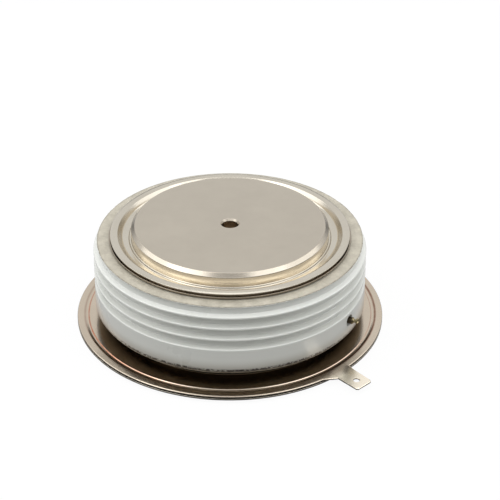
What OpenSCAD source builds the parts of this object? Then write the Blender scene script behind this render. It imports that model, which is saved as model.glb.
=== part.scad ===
// Disc thyristor: a power semiconductor in a ribbed ceramic capsule, held between two heat sinks.
// The axis is Z. The cathode contact face lies at z = 0 and the anode contact face is on top.

/* [Housing] */
// Height over the two contact faces
total_h = 26; // [24.5:0.1:32]
// Diameter of the flange rim
flange_d = 75; // [72:0.5:84]
// Diameter of each flat contact face
contact_d = 45.7; // [42:0.1:49]
// Chamfer round each contact face
contact_chamfer = 0.9; // [0.5:0.05:1.2]
// Width of the shoulder on each pole piece that its diaphragm is brazed to
pole_shoulder = 1.25; // [1:0.05:1.6]
// Height of the anode contact face above the plated end of the ceramic
anode_stand = 3.4; // [3:0.1:4]

/* [Locating holes] */
// Diameter of the blind hole in the middle of each contact face
locating_d = 3.9; // [3:0.1:5]
// Depth of that hole
locating_depth = 2.6; // [2:0.1:3]
// Width of the bevel round its mouth
locating_bevel = 0.24; // [0.1:0.02:0.5]

/* [Anode diaphragm] */
// Thickness of the diaphragm sheet
sheet_t = 0.5; // [0.4:0.05:0.6]
// Height of the collar that hugs the pole, above the trough
collar_h = 0.45; // [0.3:0.05:0.8]
// Width of the trough, from the collar to the middle of the slope
trough_w = 2.2; // [1.8:0.1:2.6]
// Depth of the trough floor below the plated end
trough_drop = 0.1; // [0:0.05:0.3]
// Width of the slope between the trough and the crown
slope_w = 1.35; // [1.1:0.05:1.5]
// Radius of the bend at the foot of the slope, twice that at its top
slope_bend = 1.1; // [0.8:0.1:1.2]
// Width of the raised crown, from the middle of the slope
crown_w = 2.35; // [2.1:0.05:2.8]
// Height of the crown above the plated end
crown_h = 1.5; // [1.2:0.05:1.9]
// Fall of the crown towards the pole
crown_fall = 0.25; // [0.1:0.05:0.4]
// Width of the crown's rolled outer edge
crown_roll = 0.55; // [0.4:0.05:0.65]
// Thickness of the crown's edge and of the seam lip below it
lip_t = 0.35; // [0.3:0.05:0.4]
// Width by which the lip stands proud of the crown
lip_w = 0.3; // [0.2:0.05:0.5]
// Gap between the lip and the plated end
lip_gap = 0.32; // [0.2:0.02:0.4]
// Depth of the seam above and below the lip
seam_depth = 0.55; // [0.3:0.05:0.6]

/* [Ceramic] */
// Visible width of the plated ring outside the lip
plated_w = 2.9; // [2.4:0.1:3.6]
// Thickness of the plated and brazed layer on each end
plating_t = 0.2; // [0.1:0.05:0.3]
// Overhang of the ribs past the plated end
rib_overhang = 0.9; // [0.6:0.05:1.2]
// Number of ribs
rib_count = 3; // [2:1:3]
// Pitch of the ribs
rib_pitch = 2.93; // [2.7:0.01:3.1]
// Height of the first rib's lower edge below the plated end
first_rib = 2.95; // [2.8:0.05:3.2]
// Depth of the grooves between the ribs
rib_depth = 1.5; // [1.2:0.05:1.7]
// Depth of the shallow groove between the plated end and the first rib
first_groove = 0.3; // [0.2:0.05:0.5]
// Height of a rib's nose
rib_nose = 0.55; // [0.5:0.05:0.7]
// Fall of a rib's upper side, from the groove out to the nose
rib_fall = 0.3; // [0.1:0.05:0.5]
// Clearance between the bore and the diaphragm
bore_clearance = 0.45; // [0.3:0.05:0.6]
// Chamfer on the lower outer edge
ceramic_chamfer = 0.5; // [0.3:0.05:0.8]

/* [Cathode flanges] */
// Thickness of the two flange sheets
flange_t = 0.55; // [0.45:0.05:0.65]
// Height of the plane in which the two sheets meet
joint_z = 1.31; // [1.2:0.01:1.6]
// Height of the neck, from that plane up to the plated end
neck_h = 3.59; // [3.2:0.01:4]
// Height of the cathode pole's shoulder above its contact face
cathode_shoulder = 4; // [3.6:0.1:4.4]
// Distance from the rim to the pressed weld groove
groove_inset = 1.75; // [1.5:0.05:2]
// Width of the weld groove
groove_w = 1.15; // [0.8:0.05:1.4]
// Width of the weld groove's outer slope
groove_slope = 0.65; // [0.3:0.05:0.7]
// Depth of the weld groove in each sheet
groove_depth = 0.16; // [0.12:0.01:0.22]
// Gap between the two sheets at the rim
rim_gap = 0.3; // [0.2:0.02:0.4]

/* [Auxiliary cathode tab] */
// Direction of the tab round the axis, in degrees
tab_angle = -45.5; // [-60:0.5:-40]
// Length of the tab past the rim
tab_len = 7.5; // [6:0.1:9]
// Width of the tab at its root
tab_w = 5.2; // [4.5:0.1:6]
// Narrowing of the tab from root to tip
tab_taper = 0.3; // [0:0.1:0.6]
// Width of the gusset beside the root, measured inside the rim
tab_gusset = 4.2; // [3:0.1:5]
// Length of the gusset past the rim
tab_gusset_len = 1.6; // [1.2:0.1:2]
// Cut corners at the tip
tab_corner = 0.4; // [0.2:0.1:0.6]
// Diameter of the hole
tab_hole_d = 1.55; // [1.2:0.05:2]
// Distance from the tip to the hole's centre
tab_hole_inset = 2.6; // [2:0.1:3]

/* [Gate terminal] */
// Direction of the gate tube round the axis, in degrees
gate_angle = -30; // [-35:0.5:-20]
// Depth of the gate lead's axis below the top of the cathode pole piece
gate_z = 1.8; // [1.6:0.1:2.2]
// Outer diameter of the gate tube
tube_d = 1.7; // [1.5:0.1:1.8]
// Length of the tube past the ceramic
tube_reach = 2.2; // [1.8:0.1:2.8]
// Length of its thick part past the ceramic
tube_body_reach = 0.8; // [0.4:0.1:1]
// Diameter of the neck behind the bead
tube_neck_d = 0.85; // [0.8:0.05:1.1]
// Diameter of the bead at the end
tube_bead_d = 1.4; // [1.2:0.1:1.7]
// Length of the bead
tube_bead_len = 0.4; // [0.3:0.05:0.5]
// Diameter of the counterbore in the ceramic
gate_recess_d = 2.7; // [2.4:0.1:3]
// Depth of the counterbore
gate_recess_depth = 1.3; // [1:0.1:1.6]
// Thickness of the tube's collar in the counterbore
tube_collar_t = 0.5; // [0.4:0.1:0.8]
// Diameter of the gate lead
lead_d = 0.5; // [0.4:0.05:0.6]
// Outer diameter of the lead's insulating sleeve
lead_sleeve_d = 1.5; // [1.3:0.1:1.7]

/* [Inner stack] */
// Height of the cathode pole piece
cathode_pole_h = 11; // [10.8:0.1:11.4]
// Thickness of the silver foils
foil_t = 0.15; // [0.1:0.05:0.25]
// Thickness of the cathode molybdenum disc
cathode_moly_t = 1; // [0.9:0.1:1.4]
// Thickness of the silicon wafer
wafer_t = 0.6; // [0.4:0.05:1]
// Thickness of the anode molybdenum disc
anode_moly_t = 2; // [1.6:0.1:2.6]
// Inset of the wafer from the pole body
wafer_inset = 1; // [0.8:0.1:1.1]
// Width of the wafer's bevelled edge
bevel_w = 1.1; // [0.8:0.1:1.2]
// Inset of the cathode molybdenum disc from the wafer's edge
emitter_inset = 1.5; // [1.4:0.1:2]
// Inset of each silver foil from its molybdenum disc
foil_inset = 0.4; // [0.2:0.1:0.8]
// Height of the edge seal below the wafer
seal_h = 0.65; // [0.5:0.05:0.8]

/* [Gate contact] */
// Diameter of the bore that holds the gate contact
gate_bore_d = 6.1; // [5.8:0.1:6.6]
// Depth of that bore
gate_bore_depth = 6.6; // [6.2:0.1:7]
// Wall of the insulating cup
cup_wall = 0.7; // [0.5:0.05:0.8]
// Floor of the insulating cup
cup_floor = 0.8; // [0.6:0.1:1]
// Diameter of the plunger's tip
plunger_d = 2.4; // [2:0.1:2.6]
// Height of the plunger's collar
plunger_collar_h = 1.6; // [1.5:0.1:1.8]
// Thickness of the guide bush's flange
guide_flange_t = 0.35; // [0.3:0.05:0.5]
// Diameter of the hole in the cathode disc and foil
emitter_hole_d = 4.5; // [4.2:0.1:5]
// Wire of the gate spring
spring_wire_d = 0.5; // [0.4:0.05:0.55]
// Turns of the gate spring
spring_turns = 4.5; // [3.5:0.5:5]

/* [Fits] */
// Radial gap of a brazed joint
braze_gap = 0.03; // [0.02:0.01:0.05]
// Radial gap of a loose fit
loose_gap = 0.1; // [0.05:0.01:0.15]

/* [Hidden] */

// Smoothness of revolved pieces, of small round pieces and of rounded corners
$fn = 128;
small_fn = 48;
corner_steps = 6;
// Sides of the gate spring's wire, and steps in each of its turns
wire_sides = 8;
turn_steps = 12;
// Overlap of a cutting tool past the face that it cuts
over = 1;

// Radii, from the pole outwards
pole_r = contact_d / 2 + contact_chamfer;
body_r = pole_r + pole_shoulder;
trough_r = pole_r + sheet_t + trough_w;
crown_r = trough_r + crown_w;
lip_r = crown_r + lip_w;
end_r = lip_r + plated_w;
nose_r = end_r + rib_overhang;
ceramic_bore_r = trough_r + sheet_t + bore_clearance;
rim_r = flange_d / 2;
groove_out_r = rim_r - groove_inset;
groove_in_r = groove_out_r - groove_w;

// Heights of the housing
anode_end_z = total_h - anode_stand;
ceramic_top = anode_end_z - plating_t;
trough_z = anode_end_z - trough_drop;
anode_shoulder_z = trough_z - sheet_t;
cathode_end_z = joint_z + neck_h;
ceramic_bottom = cathode_end_z + plating_t;

// Heights of the inner stack
emitter_z = cathode_pole_h + foil_t;
wafer_z = emitter_z + cathode_moly_t;
anode_moly_z = wafer_z + wafer_t;
anode_foil_z = anode_moly_z + anode_moly_t;
anode_pole_z = anode_foil_z + foil_t;
wafer_r = body_r - wafer_inset;
emitter_r = wafer_r - emitter_inset;

// The gate contact in its bore
lead_z = cathode_pole_h - gate_z;
gate_bore_floor = cathode_pole_h - gate_bore_depth;
cup_d = gate_bore_d - 2 * loose_gap;
cup_bore_d = cup_d - 2 * cup_wall;
cup_top = cathode_pole_h - guide_flange_t;
spring_bottom = gate_bore_floor + cup_floor;
spring_top = lead_z - plunger_collar_h / 2;
plunger_collar_d = cup_bore_d - 4 * loose_gap;
lead_bore_d = lead_d + 2 * braze_gap;
slot_w = lead_sleeve_d + 2 * loose_gap;
slot_floor = lead_z - lead_sleeve_d / 2 - braze_gap;
tube_inner_r = ceramic_bore_r - gate_recess_depth / 2;
tube_end_r = nose_r + tube_reach;
recess_floor_r = nose_r - gate_recess_depth;

NICKEL = "#bdb5a8";
GLAZE = "#e4e6e1";
PLATING = "#c9c2b3";
COPPER = "#b87650";
SILVER = "#d8d8d6";
MOLYBDENUM = "#8d9096";
SILICON = "#4a4f5c";
RUBBER = "#e8e4dc";
PTFE = "#f0f0ea";
GATE_METAL = "#9a9070";
SPRING_STEEL = "#9c9fa3";

function flat(p) = [p[0], p[1]];
function unit(v) = v / norm(v);

// Arc that rounds the corner at "at", which is [r, z, corner radius]
function corner(before, at, after) =
  let (
    u = unit(flat(before) - flat(at)),
    v = unit(flat(after) - flat(at)),
    half = acos(u * v) / 2,
    centre = flat(at) + unit(u + v) * at[2] / sin(half),
    start = flat(at) + u * at[2] / tan(half) - centre,
    end = flat(at) + v * at[2] / tan(half) - centre,
    first = atan2(start[1], start[0]),
    turn = atan2(start[0] * end[1] - start[1] * end[0], start * end)
  )
  [
    for (k = [0:corner_steps])
      centre + at[2] * [cos(first + turn * k / corner_steps), sin(first + turn * k / corner_steps)]
  ];

// Closed outline of [r, z] corners, where a third value rounds the corner by that radius
function outline(path) =
  let (n = len(path))
  [
    for (i = [0:n - 1])
      each len(path[i]) < 3 ? [path[i]] : corner(path[(i + n - 1) % n], path[i], path[(i + 1) % n])
  ];

module revolve(path) {
  rotate_extrude() polygon(outline(path));
}

module ring(inner_r, outer_r, low, high) {
  revolve([[inner_r, low], [outer_r, low], [outer_r, high], [inner_r, high]]);
}

// Places children along the gate's own radius: their Z runs outwards at the gate's height
module along_gate() {
  rotate([0, 0, gate_angle]) translate([0, 0, lead_z]) rotate([0, 90, 0]) children();
}

module gate_rod(d, from_r, to_r) {
  along_gate() translate([0, 0, from_r]) cylinder(d = d, h = to_r - from_r, $fn = small_fn);
}

// Blind hole with a bevelled mouth, cut downwards from a face at z = 0
module locating_hole() {
  translate([0, 0, -locating_depth]) cylinder(d = locating_d, h = locating_depth + over, $fn = small_fn);
  translate([0, 0, -locating_bevel])
    cylinder(d1 = locating_d, d2 = locating_d + 4 * locating_bevel, h = 2 * locating_bevel, $fn = small_fn);
}

module anode_pole_piece() {
  color(NICKEL) difference() {
    revolve([
      [0, anode_pole_z],
      [body_r, anode_pole_z],
      [body_r, anode_shoulder_z],
      [pole_r, anode_shoulder_z],
      [pole_r, total_h - contact_chamfer, contact_chamfer / 3],
      [contact_d / 2, total_h, contact_chamfer / 3],
      [0, total_h]
    ]);
    translate([0, 0, total_h]) locating_hole();
  }
}

// Formed sheet: collar on the pole, trough, slope, crown, and a seam lip over the plated end
module anode_diaphragm() {
  collar_r = pole_r + sheet_t;
  seam_r = crown_r - seam_depth;
  slope_in_r = trough_r - slope_w / 2;
  slope_out_r = trough_r + slope_w / 2;
  crown_z = anode_end_z + crown_h;
  slope_top = crown_z - crown_fall;
  lip_z = anode_end_z + lip_gap;
  bend = sheet_t / 2;
  color(NICKEL) revolve([
    [pole_r + braze_gap, anode_shoulder_z],
    [slope_in_r + bend, anode_shoulder_z, slope_bend],
    [slope_out_r + bend, slope_top - sheet_t, bend],
    [seam_r - sheet_t, slope_top - sheet_t],
    [seam_r - sheet_t, anode_end_z],
    [seam_r, anode_end_z],
    [seam_r, lip_z],
    [lip_r, lip_z],
    [lip_r, lip_z + lip_t, lip_t / 4],
    [seam_r, lip_z + lip_t],
    [seam_r, crown_z - lip_t],
    [crown_r, crown_z - lip_t],
    [crown_r, crown_z - lip_t / 2, lip_t / 4],
    [crown_r - crown_roll, crown_z, crown_roll],
    [slope_out_r, slope_top, slope_bend / 2],
    [slope_in_r, trough_z, slope_bend],
    [collar_r + bend / 2, trough_z, bend],
    [collar_r - bend / 2, trough_z + collar_h, bend],
    [pole_r + braze_gap, trough_z + collar_h]
  ]);
}

module anode_braze_ring() {
  color(PLATING) ring(ceramic_bore_r + loose_gap, end_r, ceramic_top, anode_end_z);
}

module cathode_braze_ring() {
  color(PLATING)
    ring(ceramic_bore_r + loose_gap, nose_r - ceramic_chamfer, cathode_end_z, ceramic_bottom);
}

// Outline of one lower edge, the groove under it and the rib below, down to that rib's round nose
function groove_and_rib(edge_r, edge_z, groove_r, rib_z) = [
  [edge_r, edge_z, rib_nose / 4],
  [groove_r, edge_z - rib_nose / 3, rib_nose / 4],
  [groove_r, rib_z + rib_nose + rib_fall, rib_nose / 2],
  [nose_r, rib_z + rib_nose, 0.6 * rib_nose]
];

module ceramic_ring() {
  rib_edges = [for (i = [0:rib_count - 1]) anode_end_z - first_rib - i * rib_pitch];
  last_edge = rib_edges[rib_count - 1];
  color(GLAZE) difference() {
    revolve(concat(
      [[ceramic_bore_r, ceramic_bottom], [ceramic_bore_r, ceramic_top], [end_r, ceramic_top]],
      groove_and_rib(end_r, ceramic_top - plating_t, end_r - first_groove, rib_edges[0]),
      [
        for (i = [1:1:rib_count - 1])
          each groove_and_rib(nose_r, rib_edges[i - 1], nose_r - rib_depth, rib_edges[i])
      ],
      groove_and_rib(nose_r, last_edge, nose_r - rib_depth, last_edge - rib_pitch),
      [[nose_r, ceramic_bottom + ceramic_chamfer], [nose_r - ceramic_chamfer, ceramic_bottom]]
    ));
    gate_rod(tube_d + 2 * braze_gap, ceramic_bore_r - over, nose_r);
    gate_rod(gate_recess_d, recess_floor_r, nose_r + over);
  }
}

// Eyelet tube: collar in the ceramic's counterbore, thick part, neck, and a bead round its mouth
module gate_tube() {
  tube_r = tube_d / 2;
  neck_r = tube_neck_d / 2;
  bead_r = tube_bead_d / 2;
  collar_r = gate_recess_d / 2 - loose_gap;
  collar_end = recess_floor_r + tube_collar_t;
  body_end = nose_r + tube_body_reach;
  bead_start = tube_end_r - tube_bead_len;
  color(GATE_METAL) along_gate() revolve([
    [lead_bore_d / 2, tube_inner_r],
    [tube_r, tube_inner_r],
    [tube_r, recess_floor_r],
    [collar_r, recess_floor_r],
    [collar_r, collar_end],
    [tube_r, collar_end],
    [tube_r, body_end],
    [neck_r, body_end + tube_r - neck_r],
    [neck_r, bead_start],
    [bead_r, bead_start],
    [bead_r, tube_end_r],
    [lead_bore_d / 2, tube_end_r]
  ]);
}

// Half of the weld groove's section on a face that looks up (side 1) or down (side -1)
function weld_groove(face_z, side) = [
  [groove_out_r, face_z],
  [groove_out_r - groove_slope, face_z - side * groove_depth],
  [groove_in_r + groove_depth, face_z - side * groove_depth],
  [groove_in_r, face_z]
];

// Joint face of a flange sheet: it lies on the other sheet, and stands clear of it at the rim
function joint_face(side) = [
  [groove_out_r, joint_z],
  [groove_out_r + rim_gap, joint_z + side * rim_gap / 2],
  [rim_r, joint_z + side * rim_gap / 2]
];

// Outline of the tab, with X along its own radius
function tab_outline() =
  let (
    tip = rim_r + tab_len,
    half_root = tab_w / 2,
    half_tip = tab_w / 2 - tab_taper / 2,
    inner = groove_out_r + 2 * rim_gap
  )
  [
    [inner, -half_root - tab_gusset],
    [rim_r + tab_gusset_len, -half_root],
    [tip - tab_corner, -half_tip],
    [tip, tab_corner - half_tip],
    [tip, half_tip - tab_corner],
    [tip - tab_corner, half_tip],
    [rim_r + tab_gusset_len, half_root],
    [rim_r, half_root + tab_corner],
    [inner, half_root + tab_corner]
  ];

module weld_flange() {
  neck_in_r = crown_r - flange_t;
  foot_in_r = ceramic_bore_r + loose_gap;
  top_z = joint_z + flange_t;
  tab_z = joint_z + rim_gap / 2;
  color(NICKEL) difference() {
    union() {
      revolve(concat(
        [
          [foot_in_r, cathode_end_z - flange_t],
          [neck_in_r, cathode_end_z - flange_t, flange_t / 3],
          [neck_in_r, joint_z]
        ],
        joint_face(1),
        [[rim_r, top_z]],
        weld_groove(top_z, 1),
        [[crown_r, top_z, flange_t / 2], [crown_r, cathode_end_z, flange_t / 2], [foot_in_r, cathode_end_z]]
      ));
      rotate([0, 0, tab_angle]) translate([0, 0, tab_z])
        linear_extrude(height = top_z - tab_z) polygon(tab_outline());
    }
    rotate([0, 0, tab_angle]) translate([rim_r + tab_len - tab_hole_inset, 0, joint_z - over])
      cylinder(d = tab_hole_d, h = flange_t + 2 * over, $fn = small_fn);
  }
}

// Lower flange sheet: rim, wall up to the trough, and collar that hugs the cathode pole
module cap_flange() {
  wall_out_r = trough_r + flange_t;
  collar_r = pole_r + flange_t;
  floor_z = cathode_shoulder - flange_t;
  low_z = joint_z - flange_t;
  bend = flange_t / 2;
  color(NICKEL) revolve(concat(
    [
      [wall_out_r, joint_z, bend],
      [wall_out_r, cathode_shoulder, bend],
      [pole_r + braze_gap, cathode_shoulder],
      [pole_r + braze_gap, floor_z - collar_h],
      [collar_r, floor_z - collar_h, bend / 2],
      [collar_r, floor_z, bend / 2],
      [trough_r, floor_z, bend],
      [trough_r, low_z, bend]
    ],
    [for (i = [3:-1:0]) weld_groove(low_z, -1)[i]],
    [[rim_r, low_z]],
    [for (i = [2:-1:0]) joint_face(-1)[i]]
  ));
}

module cathode_pole_piece() {
  color(NICKEL) difference() {
    revolve([
      [0, 0],
      [contact_d / 2, 0, contact_chamfer / 3],
      [pole_r, contact_chamfer, contact_chamfer / 3],
      [pole_r, cathode_shoulder],
      [body_r, cathode_shoulder],
      [body_r, cathode_pole_h],
      [0, cathode_pole_h]
    ]);
    mirror([0, 0, 1]) locating_hole();
    translate([0, 0, gate_bore_floor])
      cylinder(d = gate_bore_d, h = gate_bore_depth + over, $fn = small_fn);
    rotate([0, 0, gate_angle]) translate([0, -slot_w / 2, slot_floor])
      cube([body_r + over, slot_w, cathode_pole_h - slot_floor + over]);
  }
}

module cathode_silver_foil() {
  color(SILVER) ring(emitter_hole_d / 2, emitter_r - foil_inset, cathode_pole_h, emitter_z);
}

module cathode_molybdenum_disc() {
  color(MOLYBDENUM) ring(emitter_hole_d / 2, emitter_r, emitter_z, wafer_z);
}

module silicon_wafer() {
  color(SILICON)
    revolve([[0, wafer_z], [wafer_r - bevel_w, wafer_z], [wafer_r, anode_moly_z], [0, anode_moly_z]]);
}

// Rubber moulded round the wafer's bevel
module wafer_edge_seal() {
  bevel_r = wafer_r - bevel_w + loose_gap;
  outer_r = wafer_r + loose_gap;
  color(RUBBER) revolve([
    [emitter_r + loose_gap, wafer_z - seal_h],
    [outer_r, wafer_z - seal_h],
    [outer_r, anode_moly_z],
    [bevel_r, wafer_z],
    [emitter_r + loose_gap, wafer_z]
  ]);
}

module anode_molybdenum_disc() {
  color(MOLYBDENUM) ring(0, wafer_r, anode_moly_z, anode_foil_z);
}

module anode_silver_foil() {
  color(SILVER) ring(0, wafer_r - foil_inset, anode_foil_z, anode_pole_z);
}

// Stands on the rim of the cathode pole and reaches out to the ceramic's bore
module centring_ring() {
  color(PTFE) ring(
    wafer_r + 2 * loose_gap, ceramic_bore_r - loose_gap, cathode_pole_h, anode_pole_z - loose_gap
  );
}

module gate_plunger() {
  pilot_d = plunger_collar_d - 4 * spring_wire_d;
  color(SILVER) difference() {
    union() {
      translate([0, 0, spring_top]) cylinder(d = plunger_collar_d, h = plunger_collar_h, $fn = small_fn);
      translate([0, 0, lead_z]) cylinder(d = plunger_d, h = wafer_z - lead_z, $fn = small_fn);
      translate([0, 0, spring_top - plunger_collar_h / 2])
        cylinder(d = pilot_d, h = plunger_collar_h, $fn = small_fn);
    }
    gate_rod(lead_bore_d, 0, cup_d);
  }
}

// Ring of points on the spring's wire at one place along its turns
function spring_ring(part, coil_r, low, high) =
  let (turn = 360 * spring_turns * part, wire_r = spring_wire_d / 2)
  [
    for (k = [0:wire_sides - 1])
      let (r = coil_r + wire_r * cos(360 * k / wire_sides))
      [r * cos(turn), r * sin(turn), low + (high - low) * part + wire_r * sin(360 * k / wire_sides)]
  ];

module gate_spring() {
  steps = round(spring_turns * turn_steps);
  clear = spring_wire_d / 2 + braze_gap;
  coil_r = (plunger_collar_d - spring_wire_d) / 2;
  points = [
    for (i = [0:steps]) each spring_ring(i / steps, coil_r, spring_bottom + clear, spring_top - clear)
  ];
  walls = [
    for (i = [0:steps - 1], k = [0:wire_sides - 1])
      let (a = i * wire_sides + k, b = i * wire_sides + (k + 1) % wire_sides)
      [a, a + wire_sides, b + wire_sides, b]
  ];
  caps = [[for (k = [0:wire_sides - 1]) k], [for (k = [wire_sides - 1:-1:0]) steps * wire_sides + k]];
  color(SPRING_STEEL) polyhedron(points, concat(walls, caps));
}

module gate_insulator_cup() {
  notch_w = lead_d + 2 * loose_gap;
  color(PTFE) difference() {
    translate([0, 0, gate_bore_floor]) cylinder(d = cup_d, h = cup_top - gate_bore_floor, $fn = small_fn);
    translate([0, 0, spring_bottom]) cylinder(d = cup_bore_d, h = gate_bore_depth, $fn = small_fn);
    rotate([0, 0, gate_angle]) translate([0, -notch_w / 2, lead_z - notch_w / 2])
      cube([gate_bore_d, notch_w, gate_bore_depth]);
  }
}

// Flange on the cup, and a nose that keeps the plunger off the cathode disc
module gate_guide_bush() {
  nose_d = emitter_hole_d - 4 * loose_gap;
  color(PTFE) difference() {
    union() {
      translate([0, 0, cup_top]) cylinder(d = cup_d, h = guide_flange_t, $fn = small_fn);
      translate([0, 0, cup_top]) cylinder(d = nose_d, h = wafer_z - loose_gap - cup_top, $fn = small_fn);
    }
    translate([0, 0, lead_z]) cylinder(d = plunger_d + 2 * loose_gap, h = gate_bore_depth, $fn = small_fn);
  }
}

module gate_lead() {
  color(COPPER) gate_rod(lead_d, loose_gap, tube_end_r - tube_bead_len);
}

module gate_lead_sleeve() {
  color(PTFE) difference() {
    gate_rod(lead_sleeve_d, cup_d / 2 + loose_gap, tube_inner_r - loose_gap);
    gate_rod(lead_bore_d, 0, tube_inner_r + over);
  }
}

anode_pole_piece();
anode_diaphragm();
anode_braze_ring();
ceramic_ring();
gate_tube();
cathode_braze_ring();
weld_flange();
cap_flange();
cathode_pole_piece();
anode_silver_foil();
anode_molybdenum_disc();
silicon_wafer();
wafer_edge_seal();
cathode_molybdenum_disc();
cathode_silver_foil();
centring_ring();
gate_plunger();
gate_spring();
gate_insulator_cup();
gate_guide_bush();
gate_lead();
gate_lead_sleeve();
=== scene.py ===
# %% [markdown]
# # Disc thyristor, dressed for the camera
# A disc thyristor is a power switch the size of an ice-hockey puck. A silicon wafer lies between
# two nickel-plated copper poles, inside a ring of white glazed ceramic. Heat sinks press on the
# two flat faces. This lesson loads the CAD frame, works out finer surfaces with numpy, gives each
# piece a procedural finish, and lights the whole as a product shot.

# %% Imports and the CAD frame
import math
from functools import partial

import bmesh
import bpy
import numpy as np
from mathutils import Matrix, Vector


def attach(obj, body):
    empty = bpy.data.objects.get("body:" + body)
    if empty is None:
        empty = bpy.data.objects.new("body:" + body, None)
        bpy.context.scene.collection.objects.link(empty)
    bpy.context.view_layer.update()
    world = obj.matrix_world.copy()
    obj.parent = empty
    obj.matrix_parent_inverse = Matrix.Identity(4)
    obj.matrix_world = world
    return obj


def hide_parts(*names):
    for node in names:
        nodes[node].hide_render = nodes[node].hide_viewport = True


bpy.ops.wm.read_factory_settings(use_empty=True)
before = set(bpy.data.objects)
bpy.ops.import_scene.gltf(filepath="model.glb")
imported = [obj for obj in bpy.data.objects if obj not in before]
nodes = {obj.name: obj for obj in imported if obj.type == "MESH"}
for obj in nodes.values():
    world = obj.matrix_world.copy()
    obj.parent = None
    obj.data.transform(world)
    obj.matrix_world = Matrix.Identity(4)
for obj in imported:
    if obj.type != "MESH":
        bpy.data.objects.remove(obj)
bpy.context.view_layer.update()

# %% [markdown]
# ## Camera
# The camera comes first, because it decides which details matter. The picture was taken from
# 31 degrees above the rim with a long lens, so ellipses stay regular and near things hardly grow.
# A camera is a frame of three axes: right, up and back. We write them down and let a matrix place
# it, which is exact, where turning it by three angles is a matter of trial.

# %% Camera
MM = 0.001
ELEVATION = math.radians(30.70)
ROLL = math.radians(0.34)
FOCAL_PIXELS = 1728
FRAME_PIXELS = 500
SENSOR_MM = 36.0
UNIT_MM = 0.64
DISTANCE_MM = 650 * UNIT_MM
AIM_RIGHT_MM = 7.55 * UNIT_MM
AIM_UP_MM = -5.42 * UNIT_MM
PLATED_END_Z = 22.6

level_right = Vector((1, 0, 0))
level_up = Vector((0, math.sin(ELEVATION), math.cos(ELEVATION)))
back = Vector((0, -math.cos(ELEVATION), math.sin(ELEVATION)))
aim = Vector((0, 0, PLATED_END_Z)) + level_right * AIM_RIGHT_MM + level_up * AIM_UP_MM
right = level_right * math.cos(ROLL) + level_up * math.sin(ROLL)
up = level_up * math.cos(ROLL) - level_right * math.sin(ROLL)

camera = bpy.data.objects.new("camera", bpy.data.cameras.new("camera"))
camera.data.sensor_width = SENSOR_MM
camera.data.lens = SENSOR_MM * FOCAL_PIXELS / FRAME_PIXELS
camera.data.clip_start = 0.01
placed = Matrix((right, up, back)).transposed().to_4x4()
placed.translation = (aim + back * DISTANCE_MM) * MM
camera.matrix_world = placed
bpy.context.collection.objects.link(camera)
bpy.context.scene.camera = camera
print("lens", round(camera.data.lens, 1), "mm at", [round(x, 3) for x in placed.translation])

# %% [markdown]
# ## Turning a section into a solid
# Nearly every piece here was turned, pressed or ground round one axis. On such a piece all the
# information is in its half section, a closed line of radius and height. We round the corners of
# that line by arcs, as a die or a tool would, and carry it round the axis. Two guard points beside
# each arc keep the flat parts flat when the mesh is shaded smooth.

# %% Sections and lathes
GUARD = 0.02
ARC_STEPS = 8


def rounded(corners, closed=True):
    """Section through corners (r, z, radius) in mm. Each corner becomes an arc tangent to its two
    sides: its centre lies on the bisector, at radius / sin(half the corner's angle)."""
    table = np.array(corners, float)
    at, radius = table[:, :2], table[:, 2:]
    to_last = np.roll(at, 1, axis=0) - at
    to_next = np.roll(at, -1, axis=0) - at
    to_last /= np.linalg.norm(to_last, axis=1, keepdims=True)
    to_next /= np.linalg.norm(to_next, axis=1, keepdims=True)
    half = np.arccos(np.clip(np.sum(to_last * to_next, axis=1, keepdims=True), -1, 1)) / 2
    bisector = to_last + to_next
    bisector /= np.linalg.norm(bisector, axis=1, keepdims=True)
    centre = at + bisector * radius / np.sin(half)
    start = at + to_last * radius / np.tan(half)
    end = at + to_next * radius / np.tan(half)
    spoke, last_spoke = start - centre, end - centre
    first = np.arctan2(spoke[:, 1], spoke[:, 0])
    cross = spoke[:, 0] * last_spoke[:, 1] - spoke[:, 1] * last_spoke[:, 0]
    turn = np.arctan2(cross, np.sum(spoke * last_spoke, axis=1))
    angle = first[:, None] + turn[:, None] * np.linspace(0, 1, ARC_STEPS + 1)
    arcs = centre[:, None] + radius[:, None] * np.stack([np.cos(angle), np.sin(angle)], axis=-1)
    guards = (start + GUARD * to_last)[:, None], (end + GUARD * to_next)[:, None]
    rows = np.concatenate([guards[0], arcs, guards[1]], axis=1)
    if closed:
        return rows.reshape(-1, 2)
    return np.concatenate([at[:1], rows[1:-1].reshape(-1, 2), at[-1:]])


def lathe(section, azimuths):
    """Grid of points (r cos a, r sin a, z), one row for each section point and one column for each
    azimuth a. The section may be one line for all columns, or hold a radius for each column."""
    r, z = section[0], section[1]
    r = np.broadcast_to(np.reshape(r, (len(z), -1)), (len(z), len(azimuths)))
    height = np.broadcast_to(np.reshape(z, (len(z), -1)), r.shape)
    return np.stack([r * np.cos(azimuths), r * np.sin(azimuths), height], axis=-1)


def quads(rows, columns, closed=True):
    """Corner numbers of the grid's faces, as rows x columns x 4. The columns always close round the
    axis, and the rows close too where the section is a closed line."""
    i = np.arange(rows if closed else rows - 1)[:, None]
    j = np.arange(columns)[None, :]
    below, above = i * columns, (i + 1) % rows * columns
    beside = (j + 1) % columns
    return np.stack([below + j, below + beside, above + beside, above + j], axis=-1)


COLUMNS = 256
EVEN_TURN = np.linspace(0, 2 * np.pi, COLUMNS, endpoint=False)
print("lathe columns:", COLUMNS)

# %% [markdown]
# ## Putting arrays into meshes
# A surface is only numbers until it becomes a Blender object. The signed volume is the test for
# outward faces: it is positive only when a closed mesh faces outwards, so a mesh with a negative
# one is turned over.

# %% From arrays to pieces
WELD_DISTANCE = 1e-7
SHARP_ANGLE = math.radians(50)


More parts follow.
